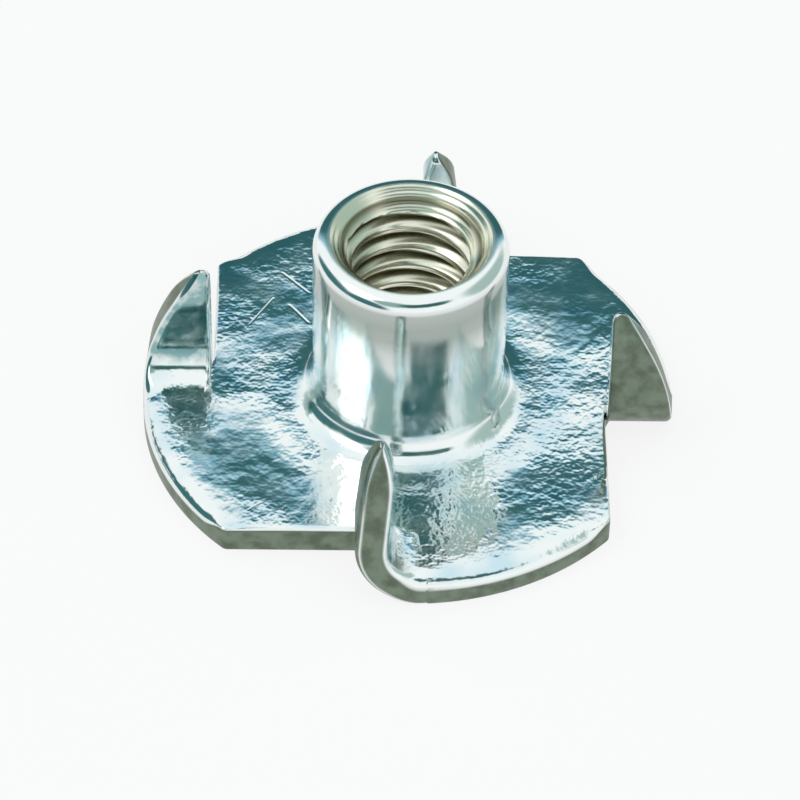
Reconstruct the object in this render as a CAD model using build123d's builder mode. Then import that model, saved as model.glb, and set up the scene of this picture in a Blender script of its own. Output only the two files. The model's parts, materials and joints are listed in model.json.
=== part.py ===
"""Four-prong tee nut, pressed from one round steel blank.

The middle of the blank is drawn up into a barrel that is pierced and tapped, and four flaps
of the rim are lanced free on one side and folded up into prongs. It is one piece of steel.
The origin is on the barrel's axis at the flange's underside, and +Z runs up the barrel.
"""
import os
from math import cos, pi, radians, sin, tan

from build123d import *

# Driving dimensions, in millimetres and degrees
flange_diameter = 15.0
sheet_thickness = 0.9
overall_height = 6.6

# Tapped bore: its wall is the root of an M4 thread, whose ridges are finer than this model
bore_diameter = 4.0
barrel_wall = 0.7

# The barrel's end: a rounded lip and a narrow flat, then the countersunk mouth
lip_radius = 0.45
lip_flat = 0.025

# Rounds left at the foot by drawing the barrel out of the sheet, outside and underneath
base_fillet = 0.75
draw_radius = 1.1

# Prongs: each is a flap of the rim, cut free along a straight line and folded past square
prong_count = 4
prong_width = 1.95
prong_offset = 1.65
prong_lean = 5.5
bend_radius = 0.9
tip_radius = 0.25
point_length = 1.2
point_bulge = 0.09

# Laps inside the sheet where the folded flap and the barrel's foot are joined on
fold_lap = 0.25
foot_lap = 0.2

# Softened edges of the blank, and the round root of each cut
root_radius = 1.4
rollover_radius = 0.4
cut_edge_radius = 0.12
prong_edge_chamfer = 0.15

# Sizes that follow from those above
flange_radius = flange_diameter / 2
bore_radius = bore_diameter / 2
barrel_radius = bore_radius + barrel_wall
mouth_radius = barrel_radius - lip_radius - lip_flat
mouth_depth = mouth_radius - bore_radius
foot_radius = max(barrel_radius + base_fillet, bore_radius + draw_radius) + foot_lap
cut_reach = flange_radius - prong_width
cut_root_radius = min(root_radius, prong_width - rollover_radius - cut_edge_radius)

# The fold: where its two faces would meet square, where it starts, and the sheet it takes up
lean_angle = radians(prong_lean)
lean_slope = tan(lean_angle)
neutral_radius = bend_radius + sheet_thickness / 2
bend_height = sheet_thickness + bend_radius
inner_corner = sheet_thickness * (1 + sin(lean_angle)) / cos(lean_angle) - prong_offset
fold_line = inner_corner + bend_radius * tan(pi / 4 + lean_angle / 2)
fold_length = neutral_radius * (pi / 2 + lean_angle)

# The rim's own arc stands on edge in the folded flap, about a centre lowered by the fold
fold_end_height = bend_height + neutral_radius * sin(lean_angle)
flap_arc_height = fold_end_height + (fold_line - fold_length) * cos(lean_angle)
lean_run = flange_radius * lean_slope

# One prong, at +X, folded up out of the sheet on its +Y side
with BuildPart() as prong:
    with BuildSketch(Plane.YZ.offset(cut_reach)) as folded_sheet:
        with BuildLine():
            outside = FilletPolyline(
                (fold_line + fold_lap, 0),
                (-prong_offset, 0),
                (lean_run - prong_offset, flange_radius),
                radius=bend_height,
            )
            inside = FilletPolyline(
                (fold_line + fold_lap, sheet_thickness),
                (inner_corner, sheet_thickness),
                (inner_corner + lean_run, sheet_thickness + flange_radius),
                radius=bend_radius,
            )
            Line(outside @ 0, inside @ 0)
            Line(outside @ 1, inside @ 1)
        make_face()
    extrude(amount=flange_radius)

    # Seen square on, the flap is a straight cut edge, a rounded tip and the rim's arc
    with BuildSketch(Plane.XZ) as flap_outline:
        with Locations((0, flap_arc_height)):
            Circle(flange_radius)
        with Locations((cut_reach, 0)):
            Rectangle(flange_radius, flange_diameter, align=(Align.MIN, Align.MIN), mode=Mode.INTERSECT)
        fillet(flap_outline.vertices().sort_by(Axis.Y)[-1], tip_radius)
    extrude(amount=flange_diameter, both=True, mode=Mode.INTERSECT)
    chamfer(prong.edges().filter_by(GeomType.CIRCLE).group_by(SortBy.RADIUS)[0], prong_edge_chamfer)

    # Seen edge on, the point narrows from both faces to a ridge
    point_height = prong.part.bounding_box().max.Z
    shoulder_height = point_height - point_length
    inner_shoulder = (inner_corner + lean_slope * (shoulder_height - sheet_thickness), shoulder_height)
    outer_shoulder = (lean_slope * shoulder_height - prong_offset, shoulder_height)
    point_middle = (inner_shoulder[0] + outer_shoulder[0]) / 2 + lean_slope * point_length
    with BuildSketch(Plane.YZ) as dressed_point:
        with BuildLine():
            SagittaArc(inner_shoulder, (point_middle, point_height), -point_bulge)
            SagittaArc(outer_shoulder, (point_middle, point_height), point_bulge)
            Polyline(
                inner_shoulder,
                (flange_radius, shoulder_height),
                (flange_radius, -flange_radius),
                (-flange_radius, -flange_radius),
                (-flange_radius, shoulder_height),
                outer_shoulder,
            )
        make_face()
    extrude(amount=flange_diameter, mode=Mode.INTERSECT)

# The nut: the blank, lanced to a pinwheel, then the drawn barrel, then the prongs
with BuildPart() as tee_nut:
    Cylinder(flange_radius, sheet_thickness, align=(Align.CENTER, Align.CENTER, Align.MIN))
    fillet(tee_nut.edges().sort_by(Axis.Z)[-1], rollover_radius)
    with BuildSketch() as lanced_notches:
        with PolarLocations(0, prong_count):
            with Locations((cut_reach, fold_line)):
                Rectangle(flange_radius, flange_diameter, align=(Align.MIN, Align.MAX))
        fillet(lanced_notches.vertices().group_by(SortBy.DISTANCE)[0], cut_root_radius)
    extrude(amount=sheet_thickness, mode=Mode.SUBTRACT)
    fillet(tee_nut.faces().sort_by(Axis.Z)[-1].edges().filter_by(GeomType.LINE), cut_edge_radius)
    Hole(foot_radius - foot_lap)

    with BuildSketch(Plane.XZ) as drawn_section:
        with BuildLine():
            Polyline(
                (bore_radius, 0),
                (foot_radius, 0),
                (foot_radius, sheet_thickness),
                (barrel_radius, sheet_thickness),
                (barrel_radius, overall_height),
                (mouth_radius, overall_height),
                (bore_radius, overall_height - mouth_depth),
                close=True,
            )
        make_face()
        fillet(drawn_section.vertices().sort_by_distance((bore_radius, 0))[0], draw_radius)
        fillet(drawn_section.vertices().sort_by_distance((barrel_radius, sheet_thickness))[0], base_fillet)
        fillet(drawn_section.vertices().sort_by_distance((barrel_radius, overall_height))[0], lip_radius)
    revolve(axis=Axis.Z)

    with PolarLocations(0, prong_count):
        add(prong.part)

tee_nut.part.label = "tee_nut"
os.makedirs("parts", exist_ok=True)
export_step(tee_nut.part, "parts/tee_nut.step")
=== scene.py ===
"""Dresses a pressed tee nut: its skin with the tapped thread, its zinc finish and a studio.

Every length is in metres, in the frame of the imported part: the origin is on the barrel's axis
at the flange's underside, and +Z runs up the barrel.
"""
import json
import logging
import math
from dataclasses import dataclass, field
from enum import Enum

import bpy
import numpy as np
from mathutils import Matrix, Vector


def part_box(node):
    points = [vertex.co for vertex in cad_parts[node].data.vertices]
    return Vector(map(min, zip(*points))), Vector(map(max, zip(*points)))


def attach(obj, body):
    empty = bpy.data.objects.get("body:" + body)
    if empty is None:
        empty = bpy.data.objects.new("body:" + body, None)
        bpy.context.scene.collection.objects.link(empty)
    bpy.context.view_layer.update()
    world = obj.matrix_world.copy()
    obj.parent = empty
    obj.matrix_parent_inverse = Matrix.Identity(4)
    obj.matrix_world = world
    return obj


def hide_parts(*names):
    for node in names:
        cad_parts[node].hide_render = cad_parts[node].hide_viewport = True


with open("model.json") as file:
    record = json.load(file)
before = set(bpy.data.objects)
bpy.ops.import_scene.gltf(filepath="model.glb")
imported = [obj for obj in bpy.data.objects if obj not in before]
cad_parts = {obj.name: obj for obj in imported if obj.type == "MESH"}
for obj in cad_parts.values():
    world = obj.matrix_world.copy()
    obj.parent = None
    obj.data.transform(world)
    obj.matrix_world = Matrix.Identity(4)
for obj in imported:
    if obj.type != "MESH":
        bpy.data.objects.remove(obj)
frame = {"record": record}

MM = 0.001
NODE = "tee_nut"
Colour = tuple[float, float, float]
Span = tuple[float, float]
Socket = bpy.types.NodeSocket

log = logging.getLogger("tee_nut_scene")


class Zone(Enum):
    """Named parts of the skin, each kept as a point attribute from 0 to 1."""

    PRESSED = "pressed_face"
    SHEARED = "sheared_edge"
    SATIN = "satin_outside"
    TAPPED = "tapped_bore"
    FOLDED = "folded_face"
    # painted reflection of a darker floor, in a band of the barrel below its lip
    REFLECTION_BAND = "drawn_end"
    THROUGH = "through_sheet"


def smooth_step(low: float, high: float, value: np.ndarray) -> np.ndarray:
    """Rises from 0 at low to 1 at high along 3t^2 - 2t^3.

    Args:
        low: Value at which the step starts. It may be the larger of the two.
        high: Value at which the step ends.
        value: The values to step.

    Returns:
        The steps, from 0 to 1.
    """
    share = np.clip((value - low) / (high - low), 0.0, 1.0)
    return share * share * (3.0 - 2.0 * share)


def quarter_round(count: int) -> tuple[np.ndarray, np.ndarray]:
    """Sine and cosine of even steps over a quarter turn, both ends included.

    Args:
        count: Number of points.

    Returns:
        The sines, from 0 to 1, and the cosines, from 1 to 0.
    """
    angle = np.linspace(0.0, math.pi / 2.0, count)
    return np.sin(angle), np.cos(angle)


def turn(points: np.ndarray, angles: np.ndarray) -> np.ndarray:
    """Copies points about the Z axis, once for each angle.

    Args:
        points: Points, with x, y and z in the last axis.
        angles: Turn of each copy, in radians.

    Returns:
        The copies, with the copy's number as a new first axis.
    """
    shape = (-1,) + (1,) * (points.ndim - 1)
    cos, sin = np.cos(angles).reshape(shape), np.sin(angles).reshape(shape)
    x, y, z = points[None, ..., 0], points[None, ..., 1], points[None, ..., 2]
    return np.stack([x * cos - y * sin, x * sin + y * cos, z + 0.0 * cos], axis=-1)


def grid_quads(rows: int, columns: int, wrap_rows: bool) -> np.ndarray:
    """Four-sided faces of a grid of points that closes on itself along its columns.

    Args:
        rows: Number of rows of points.
        columns: Number of points in each row.
        wrap_rows: True where the last row joins the first.

    Returns:
        Point numbers of each face, in rows of four.
    """
    strips = rows if wrap_rows else rows - 1
    row, column = np.meshgrid(np.arange(strips), np.arange(columns), indexing="ij")
    level, above = row * columns, (row + 1) % rows * columns
    beside = (column + 1) % columns
    corners = (level + column, level + beside, above + beside, above + column)
    return np.stack(corners, axis=-1).reshape(-1, 4)


@dataclass
class Skin:
    """Points and faces of a surface."""

    points: np.ndarray
    quads: np.ndarray
    triangles: np.ndarray = field(default_factory=lambda: np.empty((0, 3), dtype=int))

    @property
    def volume(self) -> float:
        """Volume inside, a sixth of the sum of p0 . (p1 x p2) over triangles, negative if inside out."""
        halves = (self.quads[:, [0, 1, 2]], self.quads[:, [0, 2, 3]], self.triangles)
        a, b, c = (self.points[np.concatenate(halves)[:, side]] for side in range(3))
        return float(np.einsum("ij,ij->", a, np.cross(b, c))) / 6.0

    def repeated(self, angles: np.ndarray) -> "Skin":
        """Copies the surface about the Z axis.

        Args:
            angles: Turn of each copy, in radians.

        Returns:
            All the copies as one skin.
        """
        starts = (np.arange(len(angles)) * len(self.points))[:, None, None]
        return Skin(
            turn(self.points, angles).reshape(-1, 3),
            (self.quads[None] + starts).reshape(-1, 4),
            (self.triangles[None] + starts).reshape(-1, 3),
        )

    def build(self, name: str) -> bpy.types.Object:
        """Makes an object at the origin, with the faces of a closed surface wound to point outwards.

        Args:
            name: Name of the object and of its mesh.

        Returns:
            The object, linked to the scene.
        """
        order = 1 if self.volume >= 0.0 else -1
        faces = self.quads[:, ::order].tolist() + self.triangles[:, ::order].tolist()
        mesh = bpy.data.meshes.new(name)
        mesh.from_pydata(self.points.tolist(), [], faces)
        mesh.validate()
        made = bpy.data.objects.new(name, mesh)
        bpy.context.scene.collection.objects.link(made)
        return made


@dataclass
class NutSizes:
    """Sizes of the nut that its pieces share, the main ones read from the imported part."""

    flange_radius: float
    height: float
    sheet: float
    bore_radius: float
    barrel_radius: float
    prong_count: int = 4
    prong_width: float = 1.95 * MM
    fold_line: float = 0.333 * MM
    bend_radius: float = 0.9 * MM
    lean: float = math.radians(5.5)
    rollover_width: float = 0.5 * MM
    rollover_depth: float = 0.4 * MM
    round_points: int = 9

    @classmethod
    def from_frame(cls) -> "NutSizes":
        """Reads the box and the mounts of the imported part."""
        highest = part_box(NODE)[1]
        mounts = {mount["name"]: mount for mount in frame["record"]["mounts"]}
        return cls(
            flange_radius=highest.x,
            height=highest.z,
            sheet=mounts["seat"]["pos_m"][2],
            bore_radius=mounts["thread"]["dims"]["r_mm"] * MM,
            barrel_radius=mounts["barrel"]["dims"]["r_mm"] * MM,
        )

    @property
    def cut_reach(self) -> float:
        """Distance of each straight cut from the axis."""
        return self.flange_radius - self.prong_width

    @property
    def quarter_turns(self) -> np.ndarray:
        """Turn of each prong about the axis."""
        return np.arange(self.prong_count) * 2.0 * math.pi / self.prong_count

    @property
    def middle_radius(self) -> float:
        """Radius of the fold at the middle of the sheet."""
        return self.bend_radius + self.sheet / 2.0

    @property
    def fold_angle(self) -> float:
        """Angle that each prong is folded through, past square by its lean."""
        return math.pi / 2.0 + self.lean


@dataclass
class Thread:
    """An internal metric thread, right-handed, as the radius of its wall."""

    root_radius: float
    pitch: float = 0.7 * MM
    depth_share: float = 0.541
    crest_share: float = 0.25
    root_share: float = 0.125
    corner_share: float = 0.05

    def wall(self, height: np.ndarray, angle: np.ndarray) -> np.ndarray:
        """Radius of the wall: the root, less a ridge that climbs one pitch in each turn.

        The ridge is a trapezium of height against phase, softened by averaging it with two copies
        that are shifted up and down by the corner's share of the pitch.

        Args:
            height: Heights up the bore.
            angle: Angles about the axis, in radians.

        Returns:
            The radius at each height and angle.
        """
        shifts = (-self.corner_share, 0.0, self.corner_share)
        flank_share = (1.0 - self.crest_share - self.root_share) / 2.0
        ridge = np.zeros(np.broadcast(height, angle).shape)
        for shift in shifts:
            phase = (height / self.pitch - angle / (2.0 * math.pi) + shift) % 1.0
            from_crest = np.abs(phase - 0.5) - self.crest_share / 2.0
            ridge += np.clip(1.0 - from_crest / flank_share, 0.0, 1.0) / len(shifts)
        return self.root_radius - self.depth_share * self.pitch * ridge


@dataclass(frozen=True)
class Dent:
    """A shallow hollow in the flange's face, or a swelling where its depth is negative."""

    x: float
    y: float
    turned: float
    length: float
    width: float
    depth: float

    def drop(self, x: np.ndarray, y: np.ndarray) -> np.ndarray:
        """Depth at each place, the full depth times exp(-u^2/2 - v^2/2).

        Here u and v are the distances from the middle along the dent's turned length and width.

        Args:
            x: Places along X.
            y: Places along Y.

        Returns:
            The depths.
        """
        cos, sin = math.cos(math.radians(self.turned)), math.sin(math.radians(self.turned))
        along = ((x - self.x) * cos + (y - self.y) * sin) / self.length
        across = ((y - self.y) * cos - (x - self.x) * sin) / self.width
        return self.depth * np.exp(-(across ** 2 + along ** 2) / 2.0)


@dataclass
class LancedBody:
    """The flange, cut to a pinwheel, and the barrel drawn out of its middle, as one ring-shaped skin.

    Columns run round the axis through the points of the flange's outline, and rows run round the
    section: up the tapped bore, over the lip, down the barrel, out along the flange's face, over
    its edge and back underneath. On the face they are rings out to the last ring, and from there
    they change over to the outline's shape.
    """

    sizes: NutSizes
    root_radius: float = 1.4 * MM
    corner_radius: float = 0.25 * MM
    cut_edge: float = 0.12 * MM
    burr: float = 0.05 * MM
    lip_radius: float = 0.45 * MM
    lip_flat: float = 0.025 * MM
    foot_fillet: float = 0.75 * MM
    draw_radius: float = 1.1 * MM
    thread_fade: float = 0.6 * MM
    hidden_turn: float = math.radians(4.0)
    hidden_edge: float = 0.004 * MM
    hidden_lap: float = 0.1 * MM
    last_ring: float = 5.3 * MM
    droop_width: float = 1.4 * MM
    droop: float = 0.07 * MM
    dent_fade: float = 0.9 * MM
    foot_fade_share: float = 0.6
    dents: tuple[Dent, ...] = (
        Dent(-4.3 * MM, -1.8 * MM, -45.0, 2.2 * MM, 1.2 * MM, 0.075 * MM),
        Dent(-4.2 * MM, 2.4 * MM, -15.0, 1.8 * MM, 1.0 * MM, -0.02 * MM),
        Dent(4.3 * MM, 2.4 * MM, -50.0, 2.0 * MM, 1.0 * MM, -0.065 * MM),
        Dent(4.2 * MM, -2.6 * MM, 15.0, 1.8 * MM, 1.2 * MM, 0.1 * MM),
        Dent(0.8 * MM, -4.7 * MM, 0.0, 1.4 * MM, 0.8 * MM, 0.05 * MM),
    )
    corner_fade: float = math.radians(6.0)
    arc_columns: int = 24
    fade_columns: int = 8
    corner_columns: int = 6
    cut_columns: int = 18
    root_columns: int = 10
    bore_rows: int = 180
    wall_rows: int = 10
    face_rows: int = 11
    edge_rows: int = 4
    bell_rows: int = 12

    def outline(self) -> tuple[np.ndarray, np.ndarray, np.ndarray]:
        """Points round the flange's edge, and the shape of the round on its face's edge at each.

        One quarter is the rim's arc, a small round corner, the straight cut, the cut's round root,
        and a step back out to the rim that the folded prong hides. It is then turned about the axis.
        The rim's round gives way to the cut's smaller one at the corner, and that one to next to none
        at the fold. The root ends a short lap past the fold, inside the prong.

        Returns:
            The points in plan, in rows of two, and the width and the depth of each round.
        """
        s = self.sizes
        radius, reach, root, corner = s.flange_radius, s.cut_reach, self.root_radius, self.corner_radius
        corner_x = math.sqrt((radius - corner) ** 2 - (reach - corner) ** 2)
        corner_turn = math.atan2(reach - corner, corner_x)
        fade_turn = corner_turn - self.corner_fade
        arc_angle = np.concatenate([
            np.linspace(self.hidden_turn, fade_turn, self.arc_columns)[:-1],
            np.linspace(fade_turn, corner_turn, self.fade_columns),
        ])
        arc = radius * np.stack([np.cos(arc_angle), np.sin(arc_angle)], axis=-1)
        bend_angle = np.linspace(corner_turn, math.pi / 2.0, self.corner_columns)[1:]
        bend_x = corner_x + corner * np.cos(bend_angle)
        bend_y = reach - corner + corner * np.sin(bend_angle)
        bend = np.stack([bend_x, bend_y], axis=-1)
        cut_end = root - s.fold_line + self.hidden_lap
        cut_x = np.linspace(corner_x, cut_end, self.cut_columns)[1:]
        cut = np.stack([cut_x, np.full_like(cut_x, reach)], axis=-1)
        sin, cos = quarter_round(self.root_columns)
        sweep = np.stack([cut_end - root * sin, reach + root - root * cos], axis=-1)[1:]
        rim_share = np.concatenate([
            smooth_step(corner_turn, fade_turn, arc_angle),
            np.zeros(len(bend) + len(cut) + len(sweep)),
        ])
        cut_edge = np.concatenate([
            np.full(len(arc) + len(bend) + len(cut), self.cut_edge),
            self.hidden_edge + (self.cut_edge - self.hidden_edge) * cos[1:],
        ])
        width = cut_edge + (s.rollover_width - cut_edge) * rim_share
        depth = cut_edge + (s.rollover_depth - cut_edge) * rim_share
        quarter = np.concatenate([arc, bend, cut, sweep])
        flat = np.concatenate([quarter, np.zeros((len(quarter), 1))], axis=-1)
        turned = turn(flat, s.quarter_turns)[..., :2].reshape(-1, 2)
        return turned, np.tile(width, s.prong_count), np.tile(depth, s.prong_count)

    def mitres(self, path: np.ndarray) -> np.ndarray:
        """Inward steps that move a closed outline's sides by one unit.

        With the sides' inward normals a and b either side of a point, the step is (a + b) / (1 + a . b).
        Where a quarter starts on the rim, the step is straight inwards, because its other side is hidden.

        Args:
            path: Points of the outline, counter-clockwise.

        Returns:
            The step at each point.
        """
        side = np.roll(path, -1, axis=0) - path
        side /= np.linalg.norm(side, axis=-1, keepdims=True)
        after = np.stack([-side[:, 1], side[:, 0]], axis=-1)
        before = np.roll(after, 1, axis=0)
        steps = (before + after) / (1.0 + np.sum(before * after, axis=-1, keepdims=True))
        starts = np.arange(self.sizes.prong_count) * (len(path) // self.sizes.prong_count)
        steps[starts] = -path[starts] / np.linalg.norm(path[starts], axis=-1, keepdims=True)
        return steps

    def bore(self, angle: np.ndarray) -> np.ndarray:
        """Rows of the tapped bore, from the bell mouth's end up to the lip.

        The radius is the larger of the thread's wall and the countersink's cone, and the ridges
        fade out towards the bell mouth.

        Args:
            angle: Angle of each column.

        Returns:
            Radius and height, by row and column.
        """
        s = self.sizes
        mouth = s.barrel_radius - self.lip_radius - self.lip_flat
        height = np.linspace(self.draw_radius, s.height, self.bore_rows)[:, None]
        thread = Thread(root_radius=s.bore_radius)
        fade = smooth_step(self.draw_radius, self.draw_radius + self.thread_fade, height)
        wall = s.bore_radius + (thread.wall(height, angle[None, :]) - s.bore_radius) * fade
        radius = np.maximum(wall, mouth + (height - s.height))
        return np.stack([radius, np.broadcast_to(height, radius.shape)], axis=-1)

    def barrel_section(self) -> np.ndarray:
        """Radius and height down the outside, from the lip to the end of the foot's flare.

        The lip is a quarter of a circle, the wall is straight, and the foot is a quarter of a larger
        circle that opens outwards.

        Returns:
            Points of the section, in rows of two.
        """
        s = self.sizes
        sin, cos = quarter_round(s.round_points)
        lip_r = s.barrel_radius - self.lip_radius * (1.0 - sin)
        lip_z = s.height - self.lip_radius * (1.0 - cos)
        foot_top = s.sheet + self.foot_fillet
        wall_z = np.linspace(lip_z[-1], foot_top, self.wall_rows)[1:-1]
        sin, cos = quarter_round(self.bell_rows)
        foot_r = s.barrel_radius + self.foot_fillet * (1.0 - cos)
        radius = np.concatenate([lip_r, np.full_like(wall_z, s.barrel_radius), foot_r])
        height = np.concatenate([lip_z, wall_z, foot_top - self.foot_fillet * sin])
        return np.stack([radius, height], axis=-1)

    def bell_section(self) -> np.ndarray:
        """Radius and height of the bell mouth, a quarter of a circle from the underside into the bore.

        Returns:
            Points of the section, in rows of two.
        """
        sin, cos = quarter_round(self.bell_rows)
        radius = self.sizes.bore_radius + self.draw_radius * (1.0 - sin)
        return np.stack([radius, self.draw_radius * (1.0 - cos)], axis=-1)[:-1]

    def dented(self, row: np.ndarray, weight: float) -> np.ndarray:
        """Lowers a row of the flange's face into the dents and towards the drooping rim.

        The droop grows with the square of the distance into its width, and both fade out towards
        each fold, where the flange has to meet the prong.

        Args:
            row: Points of the row.
            weight: Share of the drop that the row takes.

        Returns:
            The lowered row.
        """
        s = self.sizes
        beyond = np.hypot(row[:, 0], row[:, 1]) - s.flange_radius + self.droop_width
        drop = self.droop * (np.maximum(beyond, 0.0) / self.droop_width) ** 2
        drop = (drop + sum(dent.drop(row[:, 0], row[:, 1]) for dent in self.dents)) * weight
        for angle in s.quarter_turns:
            x, y, _ = turn(row, np.array([-angle]))[0].T
            away = np.hypot(np.maximum(s.cut_reach - x, 0.0), y - s.fold_line)
            drop = drop * (1.0 - np.exp(-(away / self.dent_fade) ** 2))
        return row - drop[:, None] * np.array([0.0, 0.0, 1.0])

    def build(self) -> bpy.types.Object:
        """Makes the skin as a grid of columns by rows that closes both ways.

        Returns:
            The body's object.
        """
        s = self.sizes
        path, width, depth = self.outline()
        inward = self.mitres(path)
        angle = np.unwrap(np.arctan2(path[:, 1], path[:, 0]))
        ray = np.stack([np.cos(angle), np.sin(angle)], axis=-1)
        burr = np.minimum(self.burr, depth)

        def ring(radius: np.ndarray | float, height: np.ndarray | float) -> np.ndarray:
            """One row about the axis, at a radius and a height."""
            plan = ray * np.broadcast_to(radius, angle.shape)[:, None]
            return np.column_stack([plan, np.broadcast_to(height, angle.shape)])

        def along(inset: np.ndarray | float, height: np.ndarray | float) -> np.ndarray:
            """One row along the outline, moved in by an inset, at a height."""
            plan = path + inward * np.broadcast_to(inset, angle.shape)[:, None]
            return np.column_stack([plan, np.broadcast_to(height, angle.shape)])

        rows = [ring(r, z) for r, z in self.bell_section()]
        rows += [ring(row[:, 0], row[:, 1]) for row in self.bore(angle)]
        rows += [ring(r, z) for r, z in self.barrel_section()]
        shares = np.linspace(0.0, 1.0, self.face_rows)[1:]
        weights = smooth_step(0.0, self.foot_fade_share, shares)
        foot_edge, last_ring, face_edge = rows[-1], ring(self.last_ring, s.sheet), along(width, s.sheet)
        rows += [self.dented(foot_edge + (last_ring - foot_edge) * a, b) for a, b in zip(shares, weights)]
        rows += [self.dented(last_ring + (face_edge - last_ring) * share, 1.0) for share in shares[:-1]]
        sin, cos = quarter_round(s.round_points)
        rounded = [along(width * (1.0 - a), s.sheet - depth * (1.0 - b)) for a, b in zip(sin, cos)]
        rows += [self.dented(row, weight) for row, weight in zip(rounded, cos)]
        wall = np.linspace(1.0, 0.0, self.edge_rows)[1:-1]
        rows += [along(0.0, burr + (s.sheet - depth - burr) * share) for share in wall]
        sin, cos = quarter_round(self.edge_rows)
        rows += [along(burr * (1.0 - b), burr * (1.0 - a)) for a, b in zip(sin, cos)]
        under_edge, bell_edge = rows[-1], rows[0]
        rows += [under_edge + (bell_edge - under_edge) * share for share in shares[:-1]]
        points = np.stack(rows)
        quads = grid_quads(points.shape[0], points.shape[1], wrap_rows=True)
        return Skin(points.reshape(-1, 3), quads).build("lanced_body")


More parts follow.
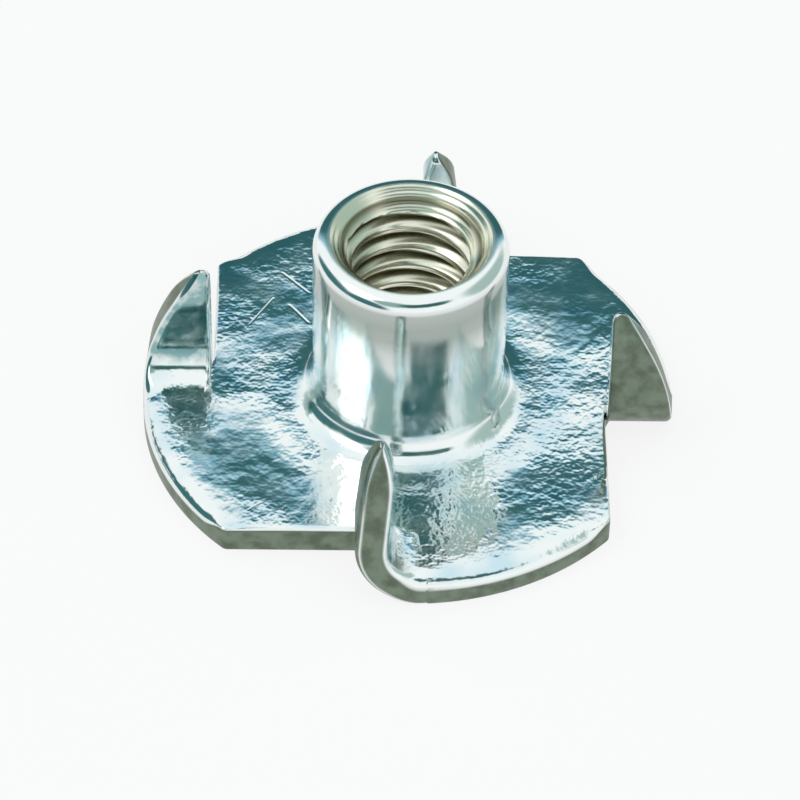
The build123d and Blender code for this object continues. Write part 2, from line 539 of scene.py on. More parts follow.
@dataclass
class FoldedProng:
    """A flap of the rim, folded up past square and dressed to a point, as a profile along a path.

    The path is the middle of the sheet: a short lap inside the flange, the fold's arc and the
    leaning straight. The profile is a rectangle with rounded corners, as wide as the flap is there.
    """

    sizes: NutSizes
    lap: float = 0.25 * MM
    lap_inset: float = 0.005 * MM
    lap_past_fold: float = 0.06 * MM
    shear_gap: float = 0.03 * MM
    tip_radius: float = 0.25 * MM
    tip_flat: float = 0.0005 * MM
    point_length: float = 1.2 * MM
    point_bulge_share: float = 0.22
    point_edge_share: float = 0.14
    inner_edge: float = 0.18 * MM
    outer_edge: float = 0.08 * MM
    outer_rim_edge: float = 0.2 * MM
    edge_room_share: float = 0.96
    lap_stations: int = 5
    fold_stations: int = 22
    shank_stations: int = 12
    point_stations: int = 26
    side_points: int = 6

    def path(self, run: np.ndarray) -> tuple[np.ndarray, np.ndarray]:
        """Middle of the folded sheet and the direction of its inner face, in the Y and Z plane.

        Args:
            run: Distance along the sheet from the fold's start.

        Returns:
            The points and the unit directions, in rows of y and z.
        """
        s = self.sizes
        angle = np.clip(run / s.middle_radius, 0.0, s.fold_angle)
        before = np.minimum(run, 0.0)
        beyond = np.maximum(run - s.middle_radius * s.fold_angle, 0.0)
        sin, cos = np.sin(angle), np.cos(angle)
        y = s.fold_line - s.middle_radius * sin - before - beyond * cos
        z = s.sheet + s.bend_radius - s.middle_radius * cos + beyond * sin
        return np.stack([y, z], axis=-1), np.stack([sin, cos], axis=-1)

    def width(self, run: np.ndarray) -> tuple[np.ndarray, np.ndarray]:
        """Nearest and furthest reach of the flap from the axis, along X.

        In the flat blank the flap lies between the straight cut and the rim's circle, and a small
        circle that touches both rounds its tip.

        Args:
            run: Distance along the sheet from the fold's start.

        Returns:
            The nearest and the furthest reach.
        """
        s = self.sizes
        near = s.cut_reach + self.shear_gap
        blank = run - s.fold_line
        tip_x = near + self.tip_radius
        tip_y = self.length - self.tip_radius - s.fold_line
        meets = tip_y * s.flange_radius / (s.flange_radius - self.tip_radius)
        across = np.sqrt(np.maximum(self.tip_radius ** 2 - (blank - tip_y) ** 2, 0.0))
        low = np.where(blank > tip_y, tip_x - across, near)
        rim = np.sqrt(np.maximum(s.flange_radius ** 2 - blank ** 2, 0.0))
        return low, np.where(blank > meets, tip_x + across, rim)

    @property
    def length(self) -> float:
        """Distance along the sheet from the fold's start to the tip."""
        s = self.sizes
        tip_x = s.cut_reach + self.shear_gap + self.tip_radius
        tip_y = math.sqrt((s.flange_radius - self.tip_radius) ** 2 - tip_x ** 2)
        return s.fold_line + self.tip_radius + tip_y

    def half_thickness(self, run: np.ndarray) -> np.ndarray:
        """Half the sheet's thickness, which falls along a bulged line to a narrow ridge at the point.

        The line is (1 - t) + 4bt(1 - t), where t is the share of the point's length and b the bulge.

        Args:
            run: Distance along the sheet from the fold's start.

        Returns:
            The half thickness.
        """
        share = np.clip(1.0 - (self.length - run) / self.point_length, 0.0, 1.0)
        taper = (1.0 - share) * (1.0 + 4.0 * self.point_bulge_share * share)
        taper = self.point_edge_share + (1.0 - self.point_edge_share) * np.minimum(taper, 1.0)
        return self.sizes.sheet / 2.0 * taper

    def stations(self) -> np.ndarray:
        """Distances along the sheet of the profiles: lap, fold, shank, and a point that closes up.

        Returns:
            The distances from the fold's start.
        """
        fold_end = self.sizes.middle_radius * self.sizes.fold_angle
        shoulder = self.length - self.point_length
        sin, _ = quarter_round(self.point_stations)
        return np.concatenate([
            np.linspace(-self.lap, 0.0, self.lap_stations)[:-1],
            np.linspace(0.0, fold_end, self.fold_stations)[:-1],
            np.linspace(fold_end, shoulder, self.shank_stations)[:-1],
            shoulder + (self.point_length - self.tip_flat) * sin,
        ])

    def profile(self, run: np.ndarray) -> np.ndarray:
        """Corners and sides of the rounded rectangle at each station.

        At the fold's start the inner corner on the rim's side has the rim's own round.

        Args:
            run: Distance along the sheet from the fold's start.

        Returns:
            Points of x and of height above the sheet's middle, by station and place.
        """
        s = self.sizes
        inset = self.lap_inset * np.clip((self.lap_past_fold - run) / self.lap, 0.0, 1.0)
        low, high = self.width(run)
        low, high = low + inset, high - inset
        half = self.half_thickness(run) - inset
        unfolded = smooth_step(s.bend_radius, 0.0, run)
        rim_width = self.inner_edge + (s.rollover_width - self.inner_edge) * unfolded
        rim_depth = self.inner_edge + (s.rollover_depth - self.inner_edge) * unfolded
        inner, outer = np.full_like(run, self.inner_edge), np.full_like(run, self.outer_edge)
        rolled = self.outer_edge + (self.outer_rim_edge - self.outer_edge) * (1.0 - unfolded)
        corners = (
            (high, half, rim_width, rim_depth, 1.0, 1.0),
            (low, half, inner, inner, -1.0, 1.0),
            (low, -half, outer, outer, -1.0, -1.0),
            (high, -half, rolled, rolled, 1.0, -1.0),
        )
        arcs = []
        for number, (side_x, side_z, width, depth, sign_x, sign_z) in enumerate(corners):
            width = np.minimum(width, self.edge_room_share * (high - low) / 2.0)[:, None]
            depth = np.minimum(depth, self.edge_room_share * half)[:, None]
            angle = np.linspace(0.0, math.pi / 2.0, s.round_points)[None, :] + number * math.pi / 2.0
            x = side_x[:, None] - sign_x * width + width * np.cos(angle)
            z = side_z[:, None] - sign_z * depth + depth * np.sin(angle)
            arcs.append(np.stack([x, z], axis=-1))
        shares = np.linspace(0.0, 1.0, self.side_points + 2)[1:-1][None, :, None]
        pieces = []
        for arc, after in zip(arcs, arcs[1:] + arcs[:1]):
            start, end = arc[:, -1:, :], after[:, :1, :]
            pieces += [arc, start + (end - start) * shares]
        return np.concatenate(pieces, axis=1)

    def build(self) -> bpy.types.Object:
        """Makes all the prongs as closed tubes, one for each quarter of the flange.

        Returns:
            One object that holds every prong.
        """
        run = self.stations()
        section = self.profile(run)
        middle, inner = self.path(run)
        rows, ring = section.shape[:2]
        y = middle[:, None, 0] + section[..., 1] * inner[:, None, 0]
        z = middle[:, None, 1] + section[..., 1] * inner[:, None, 1]
        tube = np.stack([section[..., 0], y, z], axis=-1)
        points = np.concatenate([tube.reshape(-1, 3), tube[[0, -1]].mean(axis=1)])
        first = np.arange(ring)
        last = first + (rows - 1) * ring
        base = np.stack([np.full(ring, rows * ring), np.roll(first, -1), first], axis=-1)
        tip = np.stack([np.full(ring, rows * ring + 1), last, np.roll(last, -1)], axis=-1)
        tubes = Skin(points, grid_quads(rows, ring, wrap_rows=False), np.concatenate([base, tip]))
        return tubes.repeated(self.sizes.quarter_turns).build("folded_prongs")


class NodeSheet:
    """Short hand for adding and joining the nodes of one tree."""

    def __init__(self, tree: bpy.types.NodeTree) -> None:
        """Keeps the tree.

        Args:
            tree: The tree that nodes are added to.
        """
        self.tree = tree

    def add(self, kind: str, inputs: dict | None = None, **settings: object) -> bpy.types.Node:
        """Adds a node.

        Args:
            kind: The node's type, without its ShaderNode prefix.
            inputs: Values or output sockets for the node's inputs, by name or number.
            settings: Values for the node's own properties.

        Returns:
            The node.
        """
        node = self.tree.nodes.new("ShaderNode" + kind)
        for name, value in settings.items():
            setattr(node, name, value)
        for key, value in (inputs or {}).items():
            if isinstance(value, Socket):
                self.tree.links.new(value, node.inputs[key])
            else:
                node.inputs[key].default_value = value
        return node

    def noise(self, place: Socket, size: float, detail: float = 2.0) -> Socket:
        """Adds a noise whose grains are about size across, and returns its value."""
        return self.add("TexNoise", {"Vector": place, "Scale": 1.0 / size, "Detail": detail}).outputs[0]

    def stretch(self, place: Socket, scale: tuple[float, float, float]) -> Socket:
        """Adds a scale along X, Y and Z, and returns the new place."""
        return self.add("Mapping", {"Vector": place, "Scale": scale}).outputs[0]

    def step(self, value: Socket, low: float, high: float,
             start: float = 0.0, end: float = 1.0) -> Socket:
        """Adds a smooth step from start at low to end at high, and returns its value."""
        inputs = {"Value": value, "From Min": low, "From Max": high, "To Min": start, "To Max": end}
        return self.add("MapRange", inputs, interpolation_type="SMOOTHSTEP").outputs[0]

    def math(self, operation: str, first: object, second: object = 0.0) -> Socket:
        """Adds an operation on one or two values, and returns its value."""
        return self.add("Math", {0: first, 1: second}, operation=operation).outputs[0]

    def mix(self, share: object, first: object, second: object) -> Socket:
        """Adds a mix of two colours by a share of the second, and returns the colour."""
        node = self.add("Mix", {0: share}, data_type="RGBA")
        for key, colour in ((6, first), (7, second)):
            if isinstance(colour, Socket):
                self.tree.links.new(colour, node.inputs[key])
            else:
                node.inputs[key].default_value = (*colour, 1.0)
        return node.outputs[2]

    def blend(self, share: object, first: object, second: object) -> Socket:
        """Adds a mix of two values by a share of the second, and returns the value."""
        return self.add("Mix", {0: share, 2: first, 3: second}).outputs[0]

    def zone(self, zone: Zone) -> Socket:
        """Adds the attribute of one zone of the skin, and returns its value."""
        return self.add("Attribute", attribute_name=zone.value).outputs["Fac"]


@dataclass(frozen=True)
class Scratch:
    """A short straight groove in the flange's face, from one end to the other in plan."""

    start: tuple[float, float]
    end: tuple[float, float]
    width: float = 0.13 * MM

    def depth(self, sheet: NodeSheet, place: Socket) -> Socket:
        """Adds the groove: 1 along its line, falling to 0 at its sides and ends.

        Args:
            sheet: The material's nodes.
            place: Object coordinates.

        Returns:
            The groove's share of its depth.
        """
        along = Vector(self.end) - Vector(self.start)
        angle = math.atan2(along.y, along.x)
        turned = Matrix.Rotation(-angle, 2) @ ((Vector(self.start) + Vector(self.end)) / 2.0)
        shift = (-turned.x, -turned.y, 0.0)
        inputs = {"Vector": place, "Rotation": (0.0, 0.0, -angle), "Location": shift}
        split = sheet.add("SeparateXYZ", {0: sheet.add("Mapping", inputs).outputs[0]}).outputs
        half = along.length / 2.0
        length = sheet.step(sheet.math("ABSOLUTE", split["X"]), half, half - self.width)
        side = sheet.step(sheet.math("ABSOLUTE", split["Y"]), self.width / 2.0, 0.0)
        return sheet.math("MULTIPLY", length, side)


@dataclass(frozen=True)
class ZincFinish:
    """Bright zinc plate with a pale blue passivate, duller on sheared edges and in the thread, with painted
    reflections and painted shade in its colour.

    A range gives the values of a pattern between which it fades in, and a height is in shares of
    the relief.
    """

    name: str = "bright_zinc"
    pale: Colour = (0.85, 0.89, 0.88)
    blue: Colour = (0.57, 0.74, 0.81)
    teal: Colour = (0.27, 0.44, 0.44)
    # painted reflection: the grey-olive of a darker floor seen in a band of the barrel below its lip
    painted_floor_reflection: Colour = (0.28, 0.33, 0.29)
    # painted reflection: a warm light seen in the bore
    warm_reflection_straw: Colour = (0.84, 0.84, 0.71)
    # the olive of the sheared edges and outer faces: partly their own duller tint, partly a painted
    # reflection of a darker floor
    olive: Colour = (0.205, 0.26, 0.20)
    shaded_olive: Colour = (0.105, 0.13, 0.09)
    # painted shade in the thread's grooves
    groove: Colour = (0.22, 0.21, 0.13)
    smooth_detail: float = 1.0
    fine_detail: float = 3.0
    cloud_size: float = 1.3 * MM
    cloud_range: Span = (0.35, 0.8)
    mottle_size: float = 0.45 * MM
    mottle_range: Span = (0.35, 0.7)
    mottle_shade: float = 0.8
    struck_share: float = 0.45
    floor_reflection_share: float = 0.8
    rolled_range: Span = (0.72, 0.9)
    rolled_shade: float = 0.6
    thread_crest: float = 1.72 * MM
    thread_root: float = 1.93 * MM
    thread_mouth: float = 2.0 * MM
    polish_size: float = 1.1 * MM
    polish_range: Span = (0.3, 0.7)
    bright_roughness: Span = (0.09, 0.17)
    bore_roughness: float = 0.26
    dull_roughness: float = 0.4
    relief: float = 0.012 * MM
    patch_size: float = 1.7 * MM
    patch_range: Span = (0.4, 0.62)
    patch_height: Span = (0.6, 1.8)
    grain_size: float = 0.2 * MM
    wave_size: float = 0.8 * MM
    wave_height: float = 2.4
    scratch_height: float = 1.3
    draw_size: float = 0.22 * MM
    draw_stretch: tuple[float, float, float] = (1.0, 1.0, 0.05)
    draw_height: float = 0.06
    ring_pitch: float = 0.13 * MM
    ring_height: float = 0.35
    scratches: tuple[Scratch, ...] = (
        Scratch((-3.70 * MM, 4.70 * MM), (-2.82 * MM, 3.75 * MM)),
        Scratch((-3.45 * MM, 3.32 * MM), (-2.82 * MM, 2.49 * MM)),
        Scratch((-3.86 * MM, 3.60 * MM), (-4.57 * MM, 2.41 * MM), 0.09 * MM),
        Scratch((-4.44 * MM, -4.90 * MM), (-4.03 * MM, -4.55 * MM), 0.11 * MM),
    )

    def colour(self, sheet: NodeSheet, place: Socket) -> Socket:
        """Adds the plate's colour: pale with blue clouds, a warm painted reflection in the bore, and olive
        where dull.

        The inner faces of the prongs are mottled teal, the thread's grooves take painted shade, the
        olive is partly a painted dark reflection, and a band of the barrel below its lip is greyed by
        a painted reflection of a darker floor.

        Args:
            sheet: The material's nodes.
            place: Object coordinates.

        Returns:
            The colour.
        """
        cloud = sheet.step(sheet.noise(place, self.cloud_size, self.smooth_detail), *self.cloud_range)
        plate = sheet.mix(sheet.math("MULTIPLY", cloud, sheet.zone(Zone.PRESSED)), self.pale, self.blue)
        mottle = sheet.step(sheet.noise(place, self.mottle_size, self.fine_detail), *self.mottle_range)
        struck = sheet.math("ADD", mottle, self.struck_share)
        plate = sheet.mix(sheet.math("MULTIPLY", sheet.zone(Zone.FOLDED), struck), plate, self.teal)
        # painted reflection: greys a band of the barrel below its lip, where the metal would show a darker
        # floor
        reflected_floor = sheet.math("MULTIPLY", sheet.zone(Zone.REFLECTION_BAND), self.floor_reflection_share)
        plate = sheet.mix(reflected_floor, plate, self.painted_floor_reflection)
        # painted reflection and painted shade: the bore takes a warm straw that darkens towards the
        # grooves' roots
        cut = sheet.mix(self.groove_shade(sheet, place), self.warm_reflection_straw, self.groove)
        plate = sheet.mix(sheet.zone(Zone.TAPPED), plate, cut)
        # painted shade: a darker band high on the sheared edges, under their top round
        rolled = sheet.step(sheet.zone(Zone.THROUGH), *self.rolled_range)
        rolled = sheet.math("MULTIPLY", rolled, sheet.zone(Zone.SHEARED))
        rolled = sheet.math("MULTIPLY", rolled, self.rolled_shade)
        shade = sheet.math("MAXIMUM", sheet.math("MULTIPLY", mottle, self.mottle_shade), rolled)
        dull = sheet.mix(shade, self.olive, self.shaded_olive)
        # dull olive on sheared edges and outer faces, partly the metal's own tint and partly a painted dark
        # reflection
        return sheet.mix(self.sheared_and_outside(sheet), plate, dull)

    def groove_shade(self, sheet: NodeSheet, place: Socket) -> Socket:
        """Adds the share of painted shade in the thread's grooves, from the distance to the axis.

        Args:
            sheet: The material's nodes.
            place: Object coordinates.

        Returns:
            The share, from 0 at the crest to 1 near the root.
        """
        flat = sheet.add("VectorMath", {0: place, 1: (1.0, 1.0, 0.0)}, operation="MULTIPLY").outputs[0]
        radius = sheet.add("VectorMath", {0: flat}, operation="LENGTH").outputs["Value"]
        deep = sheet.step(radius, self.thread_crest, self.thread_root)
        mouth = sheet.step(radius, self.thread_mouth, self.thread_root)
        return sheet.math("MULTIPLY", deep, mouth)

    def sheared_and_outside(self, sheet: NodeSheet) -> Socket:
        """Adds the share of dull metal: the sheared edges and the outside of the folds."""
        return sheet.math("MAXIMUM", sheet.zone(Zone.SHEARED), sheet.zone(Zone.SATIN))

    def roughness(self, sheet: NodeSheet, place: Socket) -> Socket:
        """Adds the plate's roughness: clouded, more in the bore and most on dull faces.

        Args:
            sheet: The material's nodes.
            place: Object coordinates.

        Returns:
            The roughness.
        """
        cloud = sheet.noise(place, self.polish_size, self.fine_detail)
        bright = sheet.step(cloud, *self.polish_range, *self.bright_roughness)
        bored = sheet.blend(sheet.zone(Zone.TAPPED), bright, self.bore_roughness)
        return sheet.blend(self.sheared_and_outside(sheet), bored, self.dull_roughness)

    def height(self, sheet: NodeSheet, place: Socket) -> Socket:
        """Adds the plate's relief.

        Pressed faces have waves, grain in patches and scratches, the barrel has draw lines, and the
        countersink has the rings that its cutter left.

        Args:
            sheet: The material's nodes.
            place: Object coordinates.

        Returns:
            The height, in shares of the relief.
        """
        patches = sheet.noise(place, self.patch_size, self.smooth_detail)
        patches = sheet.step(patches, *self.patch_range, *self.patch_height)
        grain = sheet.math("MULTIPLY", sheet.noise(place, self.grain_size, self.smooth_detail), patches)
        waves = sheet.noise(place, self.wave_size, self.smooth_detail)
        face = sheet.math("ADD", grain, sheet.math("MULTIPLY", waves, self.wave_height))
        for scratch in self.scratches:
            sunk = sheet.math("MULTIPLY", scratch.depth(sheet, place), self.scratch_height)
            face = sheet.math("SUBTRACT", face, sunk)
        drawn = sheet.noise(sheet.stretch(place, self.draw_stretch), self.draw_size)
        barrel = sheet.math("MULTIPLY", drawn, self.draw_height)
        level = sheet.add("SeparateXYZ", {0: place}).outputs["Z"]
        rings = sheet.math("SINE", sheet.math("MULTIPLY", level, 2.0 * math.pi / self.ring_pitch))
        tapped = sheet.math("MULTIPLY", sheet.zone(Zone.TAPPED), self.ring_height)
        plain = sheet.math("ADD", barrel, sheet.math("MULTIPLY", rings, tapped))
        return sheet.blend(sheet.zone(Zone.PRESSED), plain, face)

    def build(self) -> bpy.types.Material:
        """Makes the material's nodes.

        Returns:
            The material.
        """
        material = bpy.data.materials.new(self.name)
        material.use_nodes = True
        sheet = NodeSheet(material.node_tree)
        place = sheet.add("TexCoord").outputs["Object"]
        relief = {"Height": self.height(sheet, place), "Distance": self.relief, "Strength": 1.0}
        bump = sheet.add("Bump", relief)
        shader = material.node_tree.nodes["Principled BSDF"]
        shader.inputs["Metallic"].default_value = 1.0
        join = material.node_tree.links.new
        join(self.colour(sheet, place), shader.inputs["Base Color"])
        join(self.roughness(sheet, place), shader.inputs["Roughness"])
        join(bump.outputs["Normal"], shader.inputs["Normal"])
        return material


@dataclass(frozen=True)
class ZoneEdges:
    """Where each zone of the skin starts, and where it is full.

    A slope is how squarely a point faces out of the sheet, from 0 on its edge to 1 on its face. An
    angle is in radians round the fold. A name with "of" in it is a share of the size that it ends
    in, and the last two are lengths.
    """

    pressed_slope: Span = (0.6, 0.9)
    struck_slope: Span = (0.4, 0.8)
    satin_slope: Span = (0.3, 0.6)
    sheared_slope: Span = (0.3, 0.12)
    struck_angle: Span = (0.8, 1.4)
    outside_of_sheet: Span = (0.05, 0.02)
    bore_of_barrel: Span = (0.86, 0.82)
    wall_of_barrel: Span = (0.95, 0.99)
    foot_of_barrel: Span = (1.0, 1.25)
    # the band of the barrel that takes the painted floor reflection, in shares of the height
    reflection_of_height: Span = (0.62, 0.82)
    wall_end_of_barrel: float = 1.02
    edge_of_cut: float = 0.98
    flap_of_fold: float = 2.3
    below_lip: Span = (0.3 * MM, 0.5 * MM)
    flap_margin: float = 0.015 * MM


@dataclass
class TeeNut:
    """The whole nut: the lanced body and its prongs, joined to one closed skin and plated."""

    sizes: NutSizes
    finish: ZincFinish = field(default_factory=ZincFinish)
    edges: ZoneEdges = field(default_factory=ZoneEdges)
    crease: float = math.radians(38.0)

    def join(self, body: bpy.types.Object, prongs: bpy.types.Object) -> bpy.types.Object:
        """Unites the prongs with the body, so that no face is left inside.

        Args:
            body: The lanced body.
            prongs: Every prong.

        Returns:
            The joined skin, as a new object.
        """
        union = body.modifiers.new("prongs", "BOOLEAN")
        union.operation = "UNION"
        union.solver = "MANIFOLD"
        union.object = prongs
        evaluated = body.evaluated_get(bpy.context.evaluated_depsgraph_get())
        mesh = bpy.data.meshes.new_from_object(evaluated)
        for used in (body, prongs):
            bpy.data.objects.remove(used)
        skin = bpy.data.objects.new("pressed_nut", mesh)
        mesh.name = skin.name
        bpy.context.scene.collection.objects.link(skin)
        return skin

    def zones(self, place: np.ndarray, normal: np.ndarray) -> dict[Zone, np.ndarray]:
        """Says how far each point of the skin belongs to each zone.

        A point is turned about the axis into the frame of each prong as it stands at +X. There the
        flap's points lie past the cut and on the fold's low side, and their place through the sheet
        comes from the distance to the fold's centre or, past the fold, to the leaning straight. The
        sheet's own direction at the point then tells its faces from its edges.

        Args:
            place: Points, in rows of x, y and z.
            normal: Unit normals, in the same order.

        Returns:
            A share from 0 to 1 for each point, by zone.
        """
        s, edges = self.sizes, self.edges
        radius, height, up = np.hypot(place[:, 0], place[:, 1]), place[:, 2], normal[:, 2]
        across_barrel = radius / s.barrel_radius
        through = np.clip(height / s.sheet, 0.0, 1.0)
        facing = up
        edge = (radius > s.cut_reach * edges.edge_of_cut) * (height < s.sheet)
        folded = np.zeros_like(radius)
        for angle in s.quarter_turns:
            x, y, _ = turn(place, np.array([-angle]))[0].T
            across, aslant, _ = turn(normal, np.array([-angle]))[0].T
            drop, rise = s.fold_line - y, s.sheet + s.bend_radius - height
            past_cut = x > s.cut_reach + edges.flap_margin
            inside = past_cut & (drop > 0.0) & (drop < s.middle_radius * edges.flap_of_fold)
            swept = np.clip(np.arctan2(drop, rise), 0.0, s.fold_angle)
            straight = s.middle_radius - drop * math.sin(s.fold_angle) - rise * math.cos(s.fold_angle)
            level = np.where(swept < s.fold_angle, s.middle_radius - np.hypot(drop, rise), straight)
            through = np.where(inside, np.clip(level / s.sheet + 0.5, 0.0, 1.0), through)
            facing = np.where(inside, aslant * np.sin(swept) + up * np.cos(swept), facing)
            edge = np.where(inside, across > 0.0, edge)
            folded = np.where(inside, smooth_step(*edges.struck_angle, swept), folded)
        outside = smooth_step(*edges.outside_of_sheet, through)
        outside = np.maximum(outside, smooth_step(*edges.satin_slope, -facing))
        wall = smooth_step(*edges.wall_of_barrel, across_barrel)
        wall = wall * (across_barrel < edges.wall_end_of_barrel)
        # painted reflection: a band of the barrel wall below the lip
        reflected_floor = smooth_step(*edges.reflection_of_height, height / s.height)
        reflected_floor = reflected_floor * smooth_step(*edges.below_lip, s.height - height)
        beyond_foot = smooth_step(*edges.foot_of_barrel, across_barrel)
        return {
            Zone.TAPPED: smooth_step(*edges.bore_of_barrel, across_barrel) * (height > s.sheet),
            Zone.SHEARED: smooth_step(*edges.sheared_slope, np.abs(facing)) * edge,
            Zone.SATIN: outside * (across_barrel > 1.0),
            Zone.PRESSED: smooth_step(*edges.pressed_slope, up) * beyond_foot,
            Zone.REFLECTION_BAND: wall * reflected_floor,
            Zone.FOLDED: folded * smooth_step(*edges.struck_slope, facing),
            Zone.THROUGH: through,
        }

    def mark_zones(self, mesh: bpy.types.Mesh) -> None:
        """Writes the zones of a mesh as its point attributes.

        Args:
            mesh: The joined skin's mesh.
        """
        place = np.empty(len(mesh.vertices) * 3)
        normal = np.empty(len(mesh.vertices) * 3)
        mesh.vertices.foreach_get("co", place)
        mesh.vertex_normals.foreach_get("vector", normal)
        for zone, share in self.zones(place.reshape(-1, 3), normal.reshape(-1, 3)).items():
            attribute = mesh.attributes.new(zone.value, "FLOAT", "POINT")
            attribute.data.foreach_set("value", share.astype(np.float32))

    def build(self) -> bpy.types.Object:
        """Makes the nut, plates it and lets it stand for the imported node.

        Returns:
            The nut's object.
        """
        skin = self.join(LancedBody(self.sizes).build(), FoldedProng(self.sizes).build())
        skin.data.shade_smooth()
        skin.data.set_sharp_from_angle(angle=self.crease)
        self.mark_zones(skin.data)
        skin.data.materials.clear()
        skin.data.materials.append(self.finish.build())
        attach(skin, "root")
        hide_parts(NODE)
        return skin


@dataclass(frozen=True)
class PhotoCamera:
    """The camera at the photograph's viewing angle, from a fit to the nut's outline."""

    elevation: float = math.radians(43.93)
    swing: float = 0.0202
    roll: float = 0.0242
    distance: float = 103.9 * MM
    aim_height: float = 3.08 * MM
    focal_pixels: float = 3718.5
    aim_pixel: tuple[float, float] = (409.2, 330.8)
    image_pixels: int = 800
    sensor_mm: float = 36.0
    clip_shares: Span = (0.01, 100.0)

    def build(self) -> bpy.types.Object:
        """Places the camera so that the aim point falls on its pixel.

        Returns:
            The camera, set as the scene's own.
        """
        side = Vector((math.cos(self.swing), -math.sin(self.swing), 0.0))
        away = Vector((math.sin(self.swing), math.cos(self.swing), 0.0))
        up = away * math.sin(self.elevation) + Vector((0.0, 0.0, math.cos(self.elevation)))
        ahead = away * math.cos(self.elevation) - Vector((0.0, 0.0, math.sin(self.elevation)))
        place = Vector((0.0, 0.0, self.aim_height)) - ahead * self.distance
        right = side * math.cos(self.roll) + up * math.sin(self.roll)
        top = up * math.cos(self.roll) - side * math.sin(self.roll)
        middle = self.image_pixels / 2.0
        ahead = ahead + right * ((middle - self.aim_pixel[0]) / self.focal_pixels)
        ahead = (ahead - top * ((middle - self.aim_pixel[1]) / self.focal_pixels)).normalized()
        right = (right - ahead * right.dot(ahead)).normalized()
        top = right.cross(ahead)
        data = bpy.data.cameras.new("photo_camera")
        data.sensor_width = self.sensor_mm
        data.lens = self.focal_pixels / self.image_pixels * self.sensor_mm
        data.clip_start, data.clip_end = (self.distance * share for share in self.clip_shares)
        camera = bpy.data.objects.new("photo_camera", data)
        turned = Matrix((right, top, -ahead)).transposed().to_4x4()
        camera.matrix_world = Matrix.Translation(place) @ turned
        bpy.context.scene.collection.objects.link(camera)
        bpy.context.scene.camera = camera
        return camera


def heading(azimuth: float, elevation: float) -> Vector:
    """Unit direction from the nut.

    Args:
        azimuth: Degrees about Z, 0 at the camera's side and 90 on the right.
        elevation: Degrees above the floor.

    Returns:
        The direction.
    """
    a, e = math.radians(azimuth), math.radians(elevation)
    return Vector((math.sin(a) * math.cos(e), -math.cos(a) * math.cos(e), math.sin(e)))


@dataclass(frozen=True)
class Softbox:
    """One soft lamp, aimed at the nut from an azimuth and an elevation in degrees."""

    name: str
    azimuth: float
    elevation: float
    side: float
    power: float
    distance: float = 0.25

    def build(self) -> bpy.types.Object:
        """Makes the lamp.

        Returns:
            The lamp.
        """
        away = heading(self.azimuth, self.elevation)
        data = bpy.data.lights.new(self.name, "AREA")
        data.shape = "SQUARE"
        data.size = self.side
        data.energy = self.power
        lamp = bpy.data.objects.new(self.name, data)
        lamp.location = away * self.distance
        lamp.rotation_mode = "QUATERNION"
        lamp.rotation_quaternion = (-away).to_track_quat("-Z", "Y")
        bpy.context.scene.collection.objects.link(lamp)
        return lamp


@dataclass(frozen=True)
class Panel:
    """One soft-edged disc of the room that the metal reflects, with its angles in degrees."""

    azimuth: float
    elevation: float
    spread: float
    soft: float
    colour: Colour


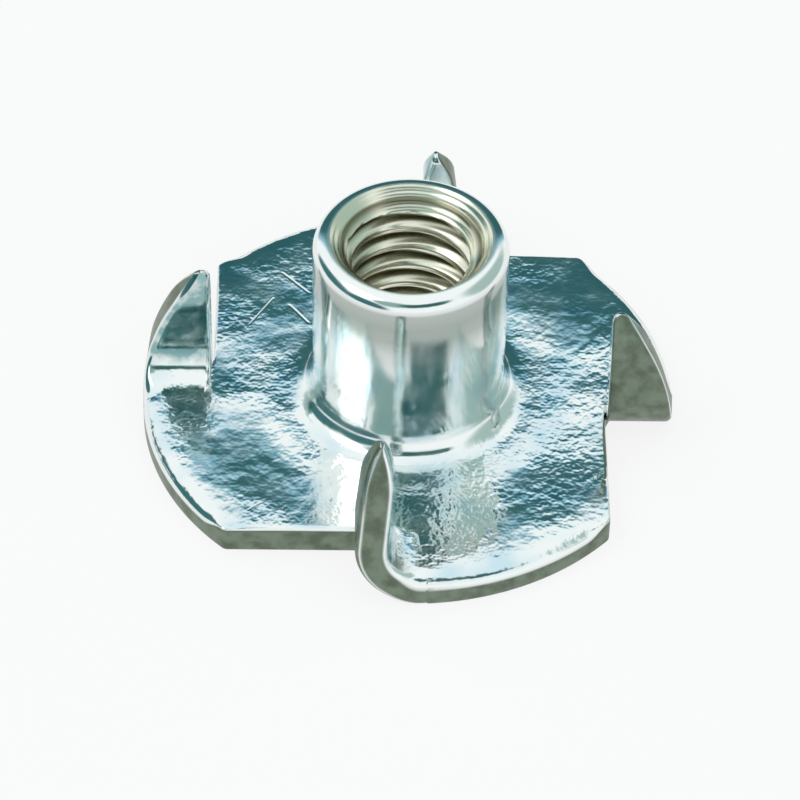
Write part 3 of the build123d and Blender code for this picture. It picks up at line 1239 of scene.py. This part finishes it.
@dataclass
class Studio:
    """A pale floor, a pale room with quiet panels, and a soft lamp."""

    floor_side: float = 4.0
    floor_colour: Colour = (0.85, 0.85, 0.85)
    floor_glow: float = 0.85
    room_colour: Colour = (1.02, 1.05, 1.05)
    panels: tuple[Panel, ...] = (
        Panel(180.0, 8.0, 38.0, 5.0, (0.24, 0.50, 0.62)),
        Panel(180.0, 8.0, 34.0, 4.0, (0.035, 0.125, 0.135)),
        Panel(-50.0, 4.0, 22.0, 8.0, (0.05, 0.17, 0.18)),
        Panel(-95.0, 4.0, 24.0, 8.0, (0.05, 0.17, 0.18)),
        Panel(-24.0, 44.0, 13.0, 6.0, (0.27, 0.42, 0.40)),
        Panel(2.0, 44.0, 9.0, 5.0, (0.035, 0.13, 0.125)),
        Panel(18.0, 44.0, 9.0, 5.0, (0.035, 0.13, 0.125)),
        Panel(34.0, 44.0, 9.0, 5.0, (0.035, 0.13, 0.125)),
        Panel(100.0, 25.0, 22.0, 16.0, (0.42, 0.56, 0.52)),
    )
    lamps: tuple[Softbox, ...] = (
        Softbox("left_softbox", -70.0, 50.0, 0.12, 0.06),
    )

    def floor(self) -> bpy.types.Object:
        """Makes the floor, a plain sheet that the nut stands on and that can't be seen from below.

        Seen directly or in the metal it is nearly white, and part of it still takes the shadow.

        Returns:
            The floor.
        """
        half = self.floor_side / 2.0
        corners = np.array([[-half, -half, 0.0], [half, -half, 0.0], [half, half, 0.0], [-half, half, 0.0]])
        made = Skin(corners, np.array([[0, 1, 2, 3]])).build("floor")
        material = bpy.data.materials.new("floor_paper")
        material.use_nodes = True
        sheet = NodeSheet(material.node_tree)
        path = sheet.add("LightPath").outputs
        seen = sheet.math("MAXIMUM", path["Is Camera Ray"], path["Is Glossy Ray"])
        seen = sheet.math("MAXIMUM", seen, path["Is Transmission Ray"])
        paper = sheet.add("BsdfDiffuse", {"Color": (*self.floor_colour, 1.0)}).outputs[0]
        glow = sheet.add("Emission", {"Color": (1.0, 1.0, 1.0, 1.0), "Strength": 1.0}).outputs[0]
        lit = sheet.add("MixShader", {0: sheet.math("MULTIPLY", seen, self.floor_glow), 1: paper, 2: glow})
        below = sheet.add("NewGeometry").outputs["Backfacing"]
        clear = sheet.add("BsdfTransparent").outputs[0]
        shown = sheet.add("MixShader", {0: below, 1: lit.outputs[0], 2: clear})
        output = material.node_tree.nodes["Material Output"]
        material.node_tree.links.new(shown.outputs[0], output.inputs["Surface"])
        made.data.materials.append(material)
        return made

    def world(self) -> bpy.types.World:
        """Makes the room: one pale colour, with each panel mixed in by its angle from the middle.

        Returns:
            The world.
        """
        world = bpy.data.worlds.new("pale_room")
        world.use_nodes = True
        sheet = NodeSheet(world.node_tree)
        direction = sheet.add("TexCoord").outputs["Generated"]
        colour: object = self.room_colour
        for panel in self.panels:
            middle = tuple(heading(panel.azimuth, panel.elevation))
            turned = sheet.add("VectorMath", {0: direction, 1: middle}, operation="DOT_PRODUCT")
            outer = math.cos(math.radians(panel.spread + panel.soft))
            inner = math.cos(math.radians(panel.spread))
            colour = sheet.mix(sheet.step(turned.outputs["Value"], outer, inner), colour, panel.colour)
        seen = sheet.add("LightPath").outputs["Is Camera Ray"]
        colour = sheet.mix(seen, colour, (1.0, 1.0, 1.0))
        world.node_tree.links.new(colour, world.node_tree.nodes["Background"].inputs["Color"])
        bpy.context.scene.world = world
        return world

    def build(self) -> None:
        """Makes the floor, the room and the lamps."""
        self.floor()
        self.world()
        for lamp in self.lamps:
            lamp.build()
        bpy.context.scene.view_settings.view_transform = "Standard"


def main() -> None:
    """Builds the nut and the studio."""
    logging.basicConfig(level=logging.INFO, format="%(message)s")
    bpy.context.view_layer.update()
    nut = TeeNut(NutSizes.from_frame()).build()
    log.info("%s: %d faces", nut.name, len(nut.data.polygons))
    camera = PhotoCamera().build()
    log.info("%s: %.1f mm lens", camera.name, camera.data.lens)
    Studio().build()


if __name__ == "__main__":
    main()
